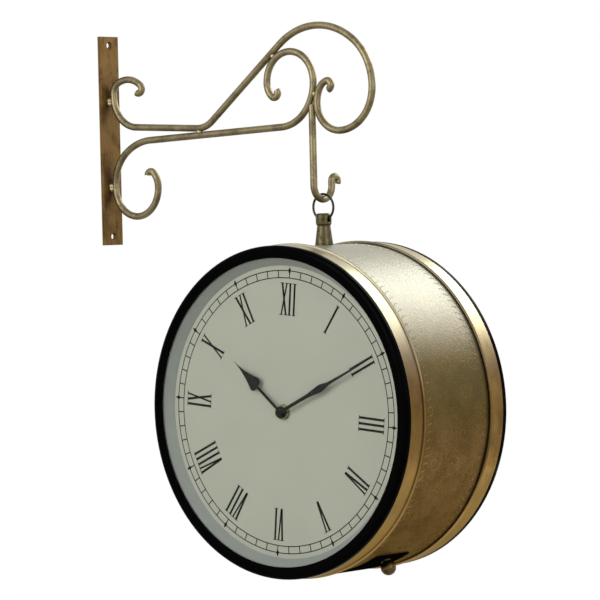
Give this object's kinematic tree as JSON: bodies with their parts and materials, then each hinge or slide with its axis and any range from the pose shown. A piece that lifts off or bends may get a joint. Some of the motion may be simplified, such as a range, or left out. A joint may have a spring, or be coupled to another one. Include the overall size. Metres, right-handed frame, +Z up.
{
  "type": "hanging double sided clock",
  "caption": "Round brass drum clock with a dial on each side and black bezels, hung by a ring from a scrolled brass wall bracket.",
  "frame": {"origin": "on the wall, midway between the two screw holes of the wall strip, at the middle of its back face", "axes": "+X out from the wall, +Z up, and the front dial faces -Y"},
  "size_m": [0.3702, 0.1332, 0.4581],
  "materials": {
    "aged_brass": "antique, lacquered",
    "drum_brass": "finely etched, lacquered",
    "rim_brass": "polished",
    "ring_wire": "darkened",
    "plain_steel": "bright zinc",
    "bezel_black": "gloss enamel",
    "clear_glass": "clear, flat",
    "grey_moulding": "satin",
    "dial_paint": "printed, eggshell",
    "hand_black": "matt",
    "case_black": "moulded",
    "gear_brass": "bright",
    "board_green": "solder mask",
    "coil_copper": "enamelled wire",
    "battery_wrap": "printed sleeve",
    "knob_red": "moulded"
  },
  "bodies": {
    "bracket": {"wall_strip": "aged_brass", "upper_scroll": "aged_brass", "lower_scroll": "aged_brass", "hook_rod": "aged_brass", "weld_beads": "aged_brass"},
    "ring": {"hanging_ring": "ring_wire"},
    "clock": {"drum_shell": "drum_brass", "hanger_spindle": "aged_brass", "hanger_plate": "plain_steel", "hanger_nut": "plain_steel", "hinge_leaf": "drum_brass", "hinge_pin": "plain_steel", "door_catch": "plain_steel", "door_rivets": "drum_brass", "front_rim": "rim_brass", "front_bezel": "bezel_black", "front_glass": "clear_glass", "front_dial_ring": "grey_moulding", "front_dial": "dial_paint", "front_clamp_ring": "plain_steel", "front_clamp_screws": "plain_steel", "front_movement_case": "case_black", "front_movement_cover": "case_black", "front_circuit_board": "board_green", "front_drive_coil": "coil_copper", "front_battery": "battery_wrap", "front_dial_washer": "gear_brass", "front_dial_nut": "gear_brass", "rear_rim": "rim_brass", "rear_bezel": "bezel_black", "rear_glass": "clear_glass", "rear_dial_ring": "grey_moulding", "rear_dial": "dial_paint", "rear_clamp_ring": "plain_steel", "rear_clamp_screws": "plain_steel", "rear_movement_case": "case_black", "rear_movement_cover": "case_black", "rear_circuit_board": "board_green", "rear_drive_coil": "coil_copper", "rear_battery": "battery_wrap", "rear_dial_washer": "gear_brass", "rear_dial_nut": "gear_brass"},
    "door": {"access_door": "bezel_black", "door_knob": "aged_brass", "door_knob_nut": "plain_steel"},
    "front_minute_parts": {"front_minute_arbor": "plain_steel", "front_minute_hand": "hand_black", "front_hand_cap": "hand_black"},
    "front_hour_parts": {"front_hour_wheel": "gear_brass", "front_hour_hand": "hand_black"},
    "front_setting_parts": {"front_minute_wheel": "gear_brass", "front_setting_knob": "knob_red"},
    "rear_minute_parts": {"rear_minute_arbor": "plain_steel", "rear_minute_hand": "hand_black", "rear_hand_cap": "hand_black"},
    "rear_hour_parts": {"rear_hour_wheel": "gear_brass", "rear_hour_hand": "hand_black"},
    "rear_setting_parts": {"rear_minute_wheel": "gear_brass", "rear_setting_knob": "knob_red"}
  },
  "joints": [
    {"name": "ring_swing", "type": "hinge", "parent": "bracket", "child": "ring", "pos_m": [0.23215, 0.0115, -0.055], "axis": [0, 1, 0], "range_deg": [-20, 20]},
    {"name": "clock_swing", "type": "hinge", "parent": "ring", "child": "clock", "pos_m": [0.23215, 0.0115, -0.07171], "axis": [1, 0, 0], "range_deg": [-20, 20]},
    {"name": "door_hinge", "type": "hinge", "parent": "clock", "child": "door", "pos_m": [0.17837, 0.0115, -0.35512], "axis": [0, 1, 0], "range_deg": [0, 95]},
    {"name": "front_minute_spin", "type": "hinge", "parent": "clock", "child": "front_minute_parts", "pos_m": [0.23215, -0.0445, -0.22841], "axis": [0, 1, 0], "continuous": true},
    {"name": "front_hour_spin", "type": "hinge", "parent": "clock", "child": "front_hour_parts", "pos_m": [0.23215, -0.0445, -0.22841], "axis": [0, 1, 0], "continuous": true},
    {"name": "front_setting_spin", "type": "hinge", "parent": "clock", "child": "front_setting_parts", "pos_m": [0.23986, -0.0445, -0.21922], "axis": [0, 1, 0], "continuous": true},
    {"name": "rear_minute_spin", "type": "hinge", "parent": "clock", "child": "rear_minute_parts", "pos_m": [0.23215, 0.0675, -0.22841], "axis": [0, -1, 0], "continuous": true},
    {"name": "rear_hour_spin", "type": "hinge", "parent": "clock", "child": "rear_hour_parts", "pos_m": [0.23215, 0.0675, -0.22841], "axis": [0, -1, 0], "continuous": true},
    {"name": "rear_setting_spin", "type": "hinge", "parent": "clock", "child": "rear_setting_parts", "pos_m": [0.22444, 0.0675, -0.21922], "axis": [0, -1, 0], "continuous": true}
  ],
  "couplings": [
    {"joint": "front_hour_spin", "follows": "front_minute_spin", "ratio": 0.083333},
    {"joint": "front_setting_spin", "follows": "front_minute_spin", "ratio": -0.33333},
    {"joint": "rear_hour_spin", "follows": "rear_minute_spin", "ratio": 0.083333},
    {"joint": "rear_setting_spin", "follows": "rear_minute_spin", "ratio": -0.33333}
  ]
}
